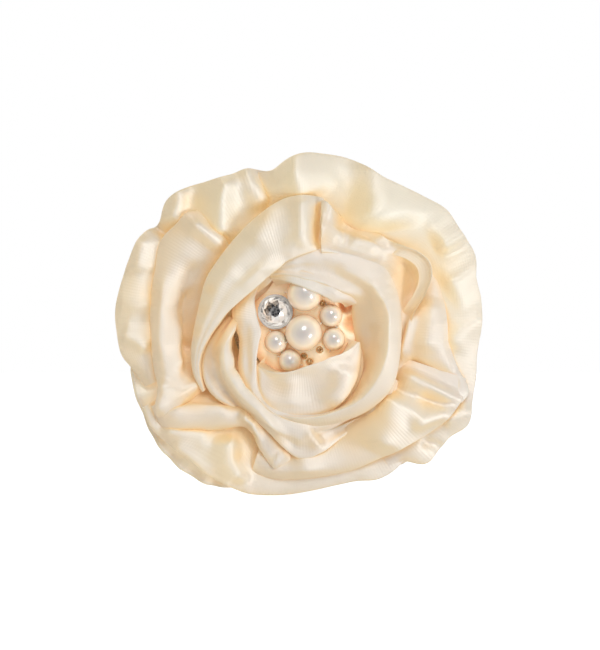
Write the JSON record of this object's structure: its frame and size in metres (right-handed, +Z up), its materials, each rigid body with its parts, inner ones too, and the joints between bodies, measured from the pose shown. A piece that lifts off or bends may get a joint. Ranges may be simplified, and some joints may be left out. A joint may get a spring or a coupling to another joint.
{
  "type": "flower hair clip",
  "caption": "Wound satin rose with a pearl and crystal bead cluster, sewn on a felt disc with a sprung alligator clip behind.",
  "frame": {"origin": "middle of the bounding box: on the flower's axis, half-way through the depth from the petals to the thumb tab", "axes": "+X to the right and +Z up as the flower is seen from the front, which faces -Y; the clip lies along X on the +Y side"},
  "size_m": [0.0798, 0.0307, 0.0747],
  "materials": {
    "satin": "ivory polyester satin ribbon, soft sheen",
    "felt": "cream craft felt",
    "buckram": "stiffened open-weave base cloth",
    "pearl": "imitation pearl, cream nacre lacquer",
    "seed_bead": "small champagne metallic seed beads",
    "setting": "plated cup setting",
    "crystal": "clear foil-backed cut stone",
    "steel": "nickel-plated steel"
  },
  "bodies": {
    "flower": {"felt_backing": "felt", "stiff_base_disc": "buckram", "centre_pad": "satin", "ruffle_base": "satin", "petal_centre_lower": "satin", "petal_centre_left": "satin", "wrap_cup": "satin", "wrap_spiral": "satin", "wrap_broad": "satin", "wrap_rolled": "satin", "band_left": "satin", "band_lower_left": "satin", "band_lower": "satin", "band_right": "satin", "petal_top": "satin", "petal_left": "satin", "petal_lower": "satin", "petal_lower_right": "satin", "pearl_large_middle": "pearl", "pearl_large_top": "pearl", "pearl_small_right_upper": "pearl", "pearl_small_right_lower": "pearl", "pearl_small_left": "pearl", "pearl_small_bottom": "pearl", "seed_bead_1": "seed_bead", "seed_bead_2": "seed_bead", "seed_bead_3": "seed_bead", "seed_bead_4": "seed_bead", "stone_setting": "setting", "rhinestone": "crystal", "felt_keeper_strap": "felt", "clip_fixed_arm": "steel", "hinge_pin": "steel", "clip_spring": "steel"},
    "jaw": {"clip_moving_arm": "steel"}
  },
  "joints": [
    {"name": "jaw_hinge", "type": "hinge", "parent": "flower", "child": "jaw", "pos_m": [0.011, 0.00895, 0], "axis": [0, 0, -1], "range_deg": [0, 35], "stiffness_Nm_per_rad": 0.05, "deforming": ["clip_spring"]}
  ]
}
